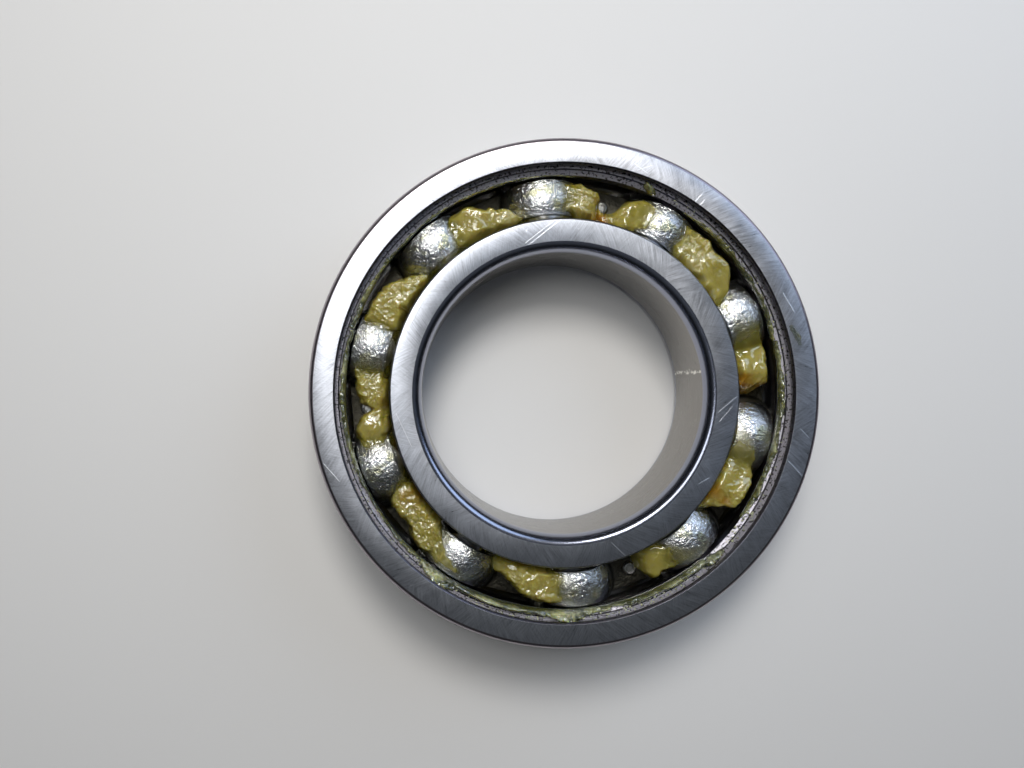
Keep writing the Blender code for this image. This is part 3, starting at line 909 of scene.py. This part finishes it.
cage_grease = grease_finish("cage_grease", thin=(0.38, 0.34, 0.06), full=(0.62, 0.53, 0.13),
                            warm=(0.50, 0.26, 0.015), roughness=0.05, clear=0.95)
gap_heaps = [
    # Beside ball 1: amber, with an orange end on the bare web.
    [(-0.5, 31.6, 35.1, 3, 0.28, 1, 0.5), (2.5, 31.3, 37.6, 6, 0.38, 0.9, 0.8),
     (6, 31.2, 38.2, 7.1, 0.58, 0.5, 0.3), (10, 31.2, 38.3, 7.0, 0.80, 0.1, 0),
     (13, 31.3, 38.2, 6.0, 0.70, 0, 0), (16, 31.6, 38.0, 4.8, 0.54, 0, 0),
     (20, 32.2, 37.6, 4.0, 0.40, 0, 0.1), (23, 32.6, 37.2, 3, 0.24, 0, 0.1),
     (26, 33.2, 36.6, 3, 0.08, 0, 0.1)],
    # Between balls 1 and 2: the largest, smooth inside and pebbled outside.
    [(24, 31.5, 32.0, 4, -0.15, 0, 0), (27.5, 31, 32.4, 5.5, 0.26, 0, 0),
     (29.5, 30.9, 34.6, 6.6, 0.38, 0, 0), (32, 30.9, 36.6, 7.6, 0.58, 0, 0),
     (36.5, 30.9, 38.3, 8.1, 0.68, 0.05, 0.15), (42, 30.9, 38.3, 8.2, 0.78, 0.05, 0.5),
     (47, 30.9, 38.3, 8, 0.68, 0.05, 1), (51, 31.2, 38.3, 7.4, 0.43, 0.05, 1.2),
     (53.5, 32.2, 38.3, 6.6, 0.18, 0, 1.2), (56, 33.5, 38.3, 5.8, -0.15, 0, 1)],
    # On the far flank of ball 2, drawn into folds.
    [(60, 33.6, 38.2, 4.6, -0.10, 0, 0.1), (63.5, 32.0, 38.3, 6.0, 0.60, 0, 0.1),
     (67, 31.2, 38.3, 6.3, 0.85, 0, 0.25), (70.5, 31, 37.6, 5.4, 0.60, 0.1, 0.4),
     (73, 30.9, 34.8, 4.4, 0.28, 0.4, 0.5), (76, 30.9, 34.2, 3.8, 0.28, 1, 0.8),
     (78.5, 30.9, 35.2, 4.6, 0.38, 0.9, 0.8)],
    # Against ball 3, pebbled, orange along the inner ring.
    [(77, 30.9, 34.6, 4, 0.28, 1, 0.6), (79, 30.9, 37.4, 6.2, 0.48, 0.6, 0.9),
     (82, 30.9, 38.3, 7.3, 0.68, 0.35, 1.2), (86, 31.2, 38.3, 7.3, 0.68, 0.2, 1),
     (89.5, 31.6, 38.3, 6.8, 0.33, 0.1, 0.9), (92.5, 32.2, 37.8, 6, 0.26, 0, 0.8),
     (95.5, 32.7, 37.4, 4.5, -0.15, 0, 0.8)],
    # Between balls 3 and 4: a wedge that widens towards ball 4.
    [(96, 31.7, 32.0, 3, -0.15, 0.1, 0.6), (99, 31.2, 32.4, 4.5, 0.26, 0.1, 0.6),
     (103, 30.9, 33.4, 6.3, 0.38, 0.1, 0.6), (107, 30.9, 35.2, 7.3, 0.58, 0.05, 0.6),
     (112, 30.9, 36.5, 7.8, 0.68, 0, 0.4), (117, 30.9, 37.8, 7.9, 0.68, 0, 0.3),
     (121, 30.9, 38.2, 7.5, 0.48, 0, 0.3), (124, 30.9, 37.2, 7, 0.23, 0, 0.5),
     (128, 30.9, 33.2, 6.2, 0.18, 0.2, 0.9), (131, 30.9, 32.0, 5.5, 0.26, 0.2, 0.8),
     (133.5, 31.4, 31.6, 4, -0.15, 0.2, 0.8)],
    # Between balls 4 and 5: another wedge, with ridges along the inner ring.
    [(134.5, 31.4, 31.8, 3.5, -0.15, 0.2, 0.8), (137.5, 30.9, 32.2, 5, 0.26, 0.2, 0.8),
     (141, 30.9, 34.6, 6.8, 0.48, 0.2, 0.9), (145, 30.9, 36.3, 7.5, 0.68, 0.35, 0.9),
     (150, 30.9, 37.9, 7.8, 0.68, 0.2, 0.7), (154, 30.9, 38.3, 7.6, 0.58, 0.1, 0.6),
     (158, 31, 38.3, 7.1, 0.33, 0, 0.6), (161, 31.4, 38.3, 6.2, 0.13, 0, 0.6),
     (163.5, 31.8, 37.6, 5.6, 0.26, 0, 0.5), (167, 32.3, 37.2, 4.1, -0.15, 0, 0.5)],
    # Between balls 5 and 6, nearly cut through by a dark slit, then over ball 6.
    [(167, 32, 36.8, 4.1, -0.15, 0, 0.6), (170, 31.5, 37.2, 5.6, 0.26, 0, 0.6),
     (173.5, 30.9, 38.0, 6.5, 0.38, 0.1, 0.7), (177, 30.9, 37.5, 7.2, 0.58, 0.2, 0.8),
     (181, 30.9, 36.9, 7.3, 0.68, 0.25, 0.6), (183.6, 30.9, 36.2, 7, 0.58, 0.5, 0.5),
     (184.8, 30.9, 33.4, 6.5, 0.48, 0.4, 0.3), (186, 30.9, 36.6, 6.8, 0.58, 0.1, 0.2),
     (189.5, 30.9, 38.0, 7.2, 0.58, 0, 0.2), (193, 31.2, 37.8, 6.8, 0.33, 0, 0.4),
     (196.5, 31.8, 37.4, 6.3, 0.26, 0, 0.5), (200, 32.3, 37.0, 4.8, -0.15, 0, 0.5)],
    # Between balls 6 and 7: a ridged strand along the inner ring.
    [(203.5, 31.5, 32.2, 4, -0.15, 0, 0.8), (206.5, 31, 32.6, 5.5, 0.26, 0, 0.8),
     (209.5, 30.9, 35.0, 6.3, 0.38, 0.1, 0.9), (213, 30.9, 37.2, 6.6, 0.58, 0.5, 0.7),
     (216.5, 30.9, 36.8, 6.8, 0.58, 0.5, 0.8), (220, 30.9, 37.0, 7.1, 0.58, 0.1, 1),
     (224, 30.9, 37.8, 7.3, 0.58, 0, 1.1), (228, 31.2, 38.3, 7, 0.55, 0, 1),
     (231, 33, 38.3, 6.5, 0.60, 0, 1), (234, 34.6, 38.3, 5.6, 0.62, 0, 1),
     (239, 35.4, 38.3, 5.2, 0.50, 0, 1), (243, 36, 38.3, 4.2, 0.15, 0, 1)],
    # Between balls 7 and 8: a thick glossy heap that overhangs a black gap.
    [(242.5, 31.4, 31.5, 3, -0.15, 0.2, 0.3), (245.5, 30.9, 31.9, 4.5, 0.26, 0.2, 0.3),
     (248.5, 30.9, 34.8, 5, 0.28, 0.3, 0.3), (252, 30.9, 34.8, 6.7, 0.48, 0.35, 0.4),
     (256, 30.9, 36.4, 7.6, 0.68, 0.3, 0.5), (260, 30.9, 37.9, 7.9, 0.78, 0.25, 0.6),
     (265, 30.9, 38.3, 7.8, 0.68, 0.15, 0.6), (269, 31.2, 38.3, 7.1, 0.38, 0, 0.6),
     (272, 32, 37.8, 6.5, 0.18, 0, 0.6), (274, 33.5, 37.2, 6, 0.26, 0, 0.5),
     (277, 34, 36.8, 4.5, -0.15, 0, 0.5)],
    # A smear on the far flank of ball 8.
    [(276.5, 34.8, 37.2, 5.5, 0.00, 0, 0.8), (279.5, 33.8, 38.0, 5.2, 0.38, 0, 1),
     (282.5, 34.4, 37.2, 4, 0.00, 0, 0.8)],
    # Smooth, beside the bare rivet before ball 9.
    [(293.8, 31.4, 34.8, 3.2, 0.2, 0, 0.2), (296, 30.9, 37.8, 5.4, 0.45, 0.1, 0.1),
     (299, 30.9, 38.3, 6.2, 0.55, 0.1, 0.1), (302, 31.0, 38.3, 6.6, 0.45, 0, 0.3),
     (305, 32.2, 38.3, 6.4, 0.35, 0, 0.9), (308.5, 35.0, 38.3, 5.4, 0.28, 0, 1),
     (313, 36.2, 38.2, 4.0, 0.15, 0, 1), (316.5, 37.0, 38.0, 3.0, -0.15, 0, 1)],
    # Between balls 9 and 10, orange where it ends over a hole.
    [(313.5, 31.5, 31.6, 3.7, -0.15, 0, 0.8), (316.5, 31, 32.0, 5.2, 0.26, 0, 0.8),
     (320, 30.9, 33.4, 6.2, 0.38, 0.1, 0.8), (323.5, 30.9, 35.2, 6.8, 0.58, 0.5, 0.6),
     (326.5, 30.9, 38.2, 7.3, 0.68, 0.75, 0.5), (330, 30.9, 38.3, 7.8, 0.68, 0.3, 0.5),
     (334, 30.9, 38.3, 7.6, 0.68, 0, 0.4), (337.5, 30.9, 38.0, 6.9, 0.65, 0, 0.3),
     (341, 31, 37.2, 6.0, 0.52, 0, 0.2), (345, 31, 35.8, 5.4, 0.42, 0.2, 0.2),
     (349, 31, 34.2, 5, 0.32, 0.4, 0.2), (353, 31.2, 32.6, 4.5, 0, 0.5, 0.2)],
    # A torn seam in the crevice between the domes and the inner ring.
    [(84, 30.9, 31.6, 4.4, 0.1, 0.3, 0.8), (92, 30.9, 32.2, 5.0, 0.35, 0.1, 0.8),
     (100, 30.9, 31.7, 4.8, 0.3, 0.0, 0.8), (118, 30.9, 31.8, 4.6, 0.3, 0.0, 0.8),
     (128, 30.9, 32.3, 5.2, 0.4, 0.1, 0.8), (138, 30.9, 31.7, 5.0, 0.35, 0.1, 0.8),
     (150, 30.9, 32.4, 4.6, 0.3, 0.2, 0.8), (162, 30.9, 32.0, 5.0, 0.35, 0.0, 0.8),
     (172, 30.9, 31.7, 5.0, 0.3, 0.1, 0.8), (188, 30.9, 31.7, 5.0, 0.3, 0.0, 0.8),
     (196, 30.9, 32.1, 5.0, 0.3, 0.4, 0.8), (204, 30.9, 31.4, 4.4, 0.1, 0.4, 0.8)],
]
for k, stations in enumerate(gap_heaps):
    widest = max(s[2] for s in stations)
    heap = grease_heap(f"cage_grease_{k + 1:02d}", stations, cage_top, k + 1, cage_grease,
                       sink=0.3, limits=(GREASE_INNER, min(widest + 0.6, GREASE_OUTER)))
    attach(heap, "cage")


# ---------------------------------------------------------------------------------------------
# Grease on the outer ring. What the seal wiped off: a thin crumbly strip on the slope below
# the seal's shelf, thicker in places and torn into flakes. It stays with the outer ring.


def outer_land_top(turn, r):
    """Height of the outer ring's slope and shelf over each point."""
    radii = [OUTER_LAND_RADIUS, SLOPE_OUTER, SHELF_INNER]
    heights = [SLOPE_FOOT, SLOPE_TOP, SHELF_HEIGHT]
    return np.interp(r, radii, heights) + 0 * turn


land_grease = grease_finish("land_grease", thin=(0.09, 0.10, 0.04), full=(0.80, 0.83, 0.48),
                            warm=(0.42, 0.36, 0.06), roughness=0.06, clear=0.4, clouds=1.5,
                            wrinkle=0.30)
land_strips = [
    [(-21, 38.6, 39.2, 7.5, 0.1, 0, 0.7), (-16, 38.5, 39.6, 7.9, 0.25, 0, 0.8),
     (-9, 38.5, 39.4, 8.0, 0.3, 0, 0.7), (-3, 38.5, 39.7, 8.2, 0.4, 0.1, 0.7),
     (4, 38.6, 39.6, 8.0, 0.3, 0.2, 0.7), (9, 38.7, 39.4, 7.8, 0.2, 0, 0.8),
     (14, 38.6, 39.3, 7.6, 0.1, 0, 0.8)],
    [(14, 38.6, 39.1, 7.5, 0.1, 0, 0.8), (22, 38.6, 39.5, 7.8, 0.2, 0, 0.9),
     (31, 38.6, 39.4, 7.7, 0.15, 0, 0.9), (40, 38.6, 39.5, 7.8, 0.2, 0, 1.0),
     (48, 38.6, 39.3, 7.7, 0.15, 0, 1.0), (56, 38.7, 39.0, 7.5, 0.05, 0, 1.0)],
    [(64.6, 38.6, 39.2, 7.7, 0.2, 0, 0.4), (66, 38.6, 39.8, 8.6, 0.5, 0.1, 0.4),
     (67.8, 38.8, 40.3, 9.0, 0.6, 0, 0.4), (68.8, 39.6, 40.3, 8.6, 0.4, 0, 0.4)],
    [(84, 38.6, 38.8, 7.5, 0.05, 0, 1.0), (96, 38.6, 38.95, 7.6, 0.12, 0, 1.0),
     (110, 38.6, 38.9, 7.6, 0.1, 0, 1.0), (124, 38.6, 39.0, 7.6, 0.12, 0, 1.0),
     (138, 38.6, 39.15, 7.7, 0.12, 0, 1.0), (150, 38.55, 39.4, 7.7, 0.15, 0, 1.0),
     (157, 38.5, 39.5, 7.8, 0.2, 0, 0.8), (163, 38.6, 39.4, 7.7, 0.15, 0, 0.8)],
    [(163, 38.6, 39.3, 7.6, 0.1, 0, 0.8), (176, 38.5, 39.6, 7.9, 0.25, 0, 0.8),
     (190, 38.5, 39.5, 8.0, 0.3, 0, 0.8), (203, 38.5, 39.4, 7.9, 0.25, 0, 0.8),
     (210, 38.5, 39.0, 7.6, 0.1, 0, 0.8), (219, 38.5, 39.3, 7.8, 0.2, 0, 0.9),
     (230, 38.5, 39.2, 7.8, 0.2, 0, 0.9)],
    [(229.5, 38.5, 39.2, 7.7, 0.2, 0, 0.6), (232, 38.5, 40.2, 8.4, 0.4, 0, 0.6),
     (235.5, 38.5, 40.8, 8.8, 0.5, 0, 0.7), (239, 38.5, 40.6, 8.7, 0.5, 0, 0.6),
     (242, 38.5, 39.8, 8.6, 0.5, 0, 0.4), (247, 38.5, 39.6, 8.7, 0.5, 0, 0.35),
     (254, 38.5, 39.7, 8.8, 0.5, 0.1, 0.35), (261, 38.5, 39.7, 8.7, 0.5, 0.1, 0.4),
     (268, 38.5, 39.5, 8.0, 0.2, 0, 0.5)],
    [(264.6, 38.5, 39.6, 7.9, 0.2, 0, 0.9), (268.5, 38.5, 40.2, 8.8, 0.6, 0, 1.0),
     (271.5, 38.5, 40.9, 9.2, 0.9, 0, 1.2), (273.4, 38.5, 40.8, 8.9, 0.7, 0, 1.0),
     (275, 38.5, 39.8, 8.0, 0.3, 0, 0.8), (279, 38.5, 39.6, 8.0, 0.3, 0, 0.8),
     (283, 38.5, 39.4, 7.8, 0.2, 0, 0.8)],
    [(282.5, 38.5, 39.2, 7.8, 0.2, 0, 0.7), (288, 38.5, 39.5, 8.2, 0.35, 0, 0.8),
     (293, 38.5, 39.5, 8.6, 0.5, 0.1, 0.6), (299, 38.5, 39.5, 8.7, 0.5, 0, 0.5),
     (305, 38.5, 39.7, 8.5, 0.4, 0, 0.6), (310.5, 38.8, 40.0, 8.0, 0.2, 0, 0.8)],
    [(308.5, 39.0, 39.8, 7.9, 0.1, 0, 1.0), (312.6, 38.9, 40.5, 8.6, 0.45, 0, 1.0),
     (314.8, 39.2, 40.4, 8.3, 0.3, 0, 1.0), (316, 39.6, 40.1, 7.9, 0.1, 0, 1.0)],
    [(325, 38.6, 39.0, 7.4, 0.0, 0, 1.0), (330, 38.5, 39.3, 7.7, 0.15, 0, 1.0),
     (335, 38.5, 39.4, 7.8, 0.2, 0, 1.0), (340.5, 38.6, 39.3, 7.6, 0.15, 0, 0.8)],
]
for k, stations in enumerate(land_strips):
    strip = grease_heap(f"land_grease_{k + 1:02d}", stations, outer_land_top, 20 + k, land_grease,
                        sink=0.15, limits=(OUTER_LAND_RADIUS - 0.35, GROOVE_BACK - 0.02),
                        torn=0.28, round_off=0.6)
    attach(strip, "outer")


# ---------------------------------------------------------------------------------------------
# Crumbs and a smear. Dried crumbs of grease lie on the seal's shelf and slope, and one smear
# was left on the outer ring's face by a glove.


def face_top(turn, r):
    return HALF_WIDTH + 0 * turn * r


smear = grease_heap("face_smear", [
    (11.4, 41.6, 42.1, 9.8, -0.02, 0, 0.6), (13.0, 41.2, 42.4, 9.8, 0.06, 0, 0.8),
    (15.2, 40.9, 42.0, 9.8, 0.10, 0, 0.8), (16.8, 40.8, 41.3, 9.8, -0.02, 0, 0.6),
], face_top, 61, land_grease, sink=0.02, limits=(40.6, 43.4), torn=0.03, swell=0.06, round_off=0.5)
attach(smear, "outer")


def scattered_crumbs(name):
    """A tree that scatters rough lumps over an arc of a ring-shaped shelf."""
    measures = ("First Angle", "Last Angle", "Inner Radius", "Outer Radius", "Height",
                "Smallest", "Largest")
    nodes, given = start_tree(name, {
        **dict.fromkeys(("Count", "Seed"), "NodeSocketInt"),
        **dict.fromkeys(measures, "NodeSocketFloat")})

    def chance(low, high, draw, kind="FLOAT"):
        inputs = {"Min": low, "Max": high, "Seed": given["Seed"] + draw}
        return nodes.node("FunctionNodeRandomValue", {"data_type": kind}, inputs)["Value"]

    def vector_maths(operation, inputs):
        return nodes.node("ShaderNodeVectorMath", {"operation": operation}, inputs)["Vector"]

    turn = chance(given["First Angle"], given["Last Angle"], 1)
    out = chance(given["Inner Radius"], given["Outer Radius"], 2)
    tumble = chance((0.0, 0.0, 0.0), (2 * pi, 2 * pi, 2 * pi), 3, "FLOAT_VECTOR")
    size = chance(given["Smallest"], given["Largest"], 4)
    lump = nodes.first("GeometryNodeMeshIcoSphere", Radius=1.0, Subdivisions=1)
    rough = nodes.node("ShaderNodeTexNoise", inputs={"Scale": 1.4, "Detail": 1.0})["Color"]
    dent = vector_maths("SUBTRACT", {0: rough, 1: (0.5, 0.5, 0.5)})
    dent = vector_maths("SCALE", {0: dent, "Scale": 1.6})
    lump = nodes.first("GeometryNodeSetPosition", Geometry=lump, Offset=dent)
    lump = nodes.first("GeometryNodeSetShadeSmooth", Geometry=lump)
    place = nodes.polar(turn, out, Z=given["Height"])
    return end_tree(nodes, given, place, Instance=lump, Rotation=tumble, Scale=size)


crumb_tree = scattered_crumbs("scattered_crumbs")
finish = Finish("crumb_grease", Subsurface_Weight=0.5, Subsurface_Radius=(1.0, 0.8, 0.3),
                Subsurface_Scale=0.6 * MM, IOR=1.5, Coat_Weight=0.5, Coat_Roughness=0.1)
# The crumbs are pale dried grease, and their light end is made whiter still as painted glints on the
# shelf and slope.
dry = finish.noise(1.2, 3.0)
crumb_finish = finish.plug(
    Base_Color=finish.mix(dry, rgb(0.26, 0.26, 0.14), rgb(0.80, 0.82, 0.58)),
    Roughness=dry * 0.25 + 0.2,
    Normal=finish.bump(dry, 0.05),
)
crumb_areas = [
    ("shelf_crumbs_low", 150, 3, 200, 335, 39.95, 40.85, 7.85, 0.05, 0.18),
    ("shelf_crumbs_right", 60, 5, -25, 60, 39.0, 40.3, 7.75, 0.05, 0.17),
    ("slope_crumbs_low", 170, 8, 225, 330, 38.8, 40.2, 7.8, 0.07, 0.26),
    ("slope_crumbs_left", 70, 11, 150, 225, 38.9, 39.9, 7.7, 0.05, 0.15),
]
for name, count, seed, first, last, inner, outer, height, smallest, largest in crumb_areas:
    blank = add_object(name, bpy.data.meshes.new(name))
    crumbs = apply_tree(
        blank, crumb_tree, count=count, seed=seed, first_angle=radians(first),
        last_angle=radians(last), inner_radius=inner * MM, outer_radius=outer * MM,
        height=height * MM, smallest=smallest * MM, largest=largest * MM, finish=crumb_finish)
    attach(crumbs, "outer")


# ---------------------------------------------------------------------------------------------
# Floor and light. A pale floor. A key lamp stands above and behind, with a ceiling light beside
# it, a cool window to the right, a fill that leaves no glints, and a dim room all round.

FLOOR_HALF = 1200
LAMPS_AIM = Vector((0, 0, 0.01))

corners = [(x, y, -HALF_WIDTH) for x, y in (
    (-FLOOR_HALF, -FLOOR_HALF), (FLOOR_HALF, -FLOOR_HALF),
    (FLOOR_HALF, FLOOR_HALF), (-FLOOR_HALF, FLOOR_HALF))]
pale = Finish("pale_floor", Base_Color=rgb(0.78, 0.77, 0.75), Roughness=0.7).material
floor = mesh_object("floor", corners, [(0, 1, 2, 3)], [pale])


def lamp(name, place, size, power, colour):
    data = bpy.data.lights.new(name, "AREA")
    data.shape = "DISK"
    data.size = size
    data.energy = power
    data.color = colour
    obj = add_object(name, data)
    obj.location = place
    obj.rotation_euler = (LAMPS_AIM - Vector(place)).to_track_quat("-Z", "Y").to_euler()
    return obj


lamp("key", (-0.030, 0.195, 0.310), 0.12, 0.62, (1.0, 0.98, 0.95))
lamp("ceiling", (-0.085, 0.085, 0.320), 0.14, 0.18, (0.95, 0.97, 1.0))
lamp("window", (0.25, 0.22, 0.22), 0.30, 0.45, (0.62, 0.76, 1.0))
fill = lamp("fill", (-0.10, 0.30, 0.60), 0.60, 1.1, (1.0, 0.98, 0.96))
fill.visible_glossy = False
world = bpy.data.worlds.new("room")
world.use_nodes = True
room = Nodes(world.node_tree)
direction = room.node("ShaderNodeTexCoord")["Generated"]
upward = room.node("ShaderNodeSeparateXYZ", inputs={"Vector": direction})["Z"]
glow = room.node("ShaderNodeMapRange", {"interpolation_type": "SMOOTHSTEP"}, {
    "Value": upward, "From Min": 0.35, "From Max": 0.95, "To Min": 0.015, "To Max": 0.085})
background = world.node_tree.nodes["Background"].inputs
room.feed(background["Color"], rgb(0.85, 0.92, 1.0))
room.feed(background["Strength"], glow["Result"])
bpy.context.scene.world = world
bpy.context.scene.view_settings.view_transform = "Standard"
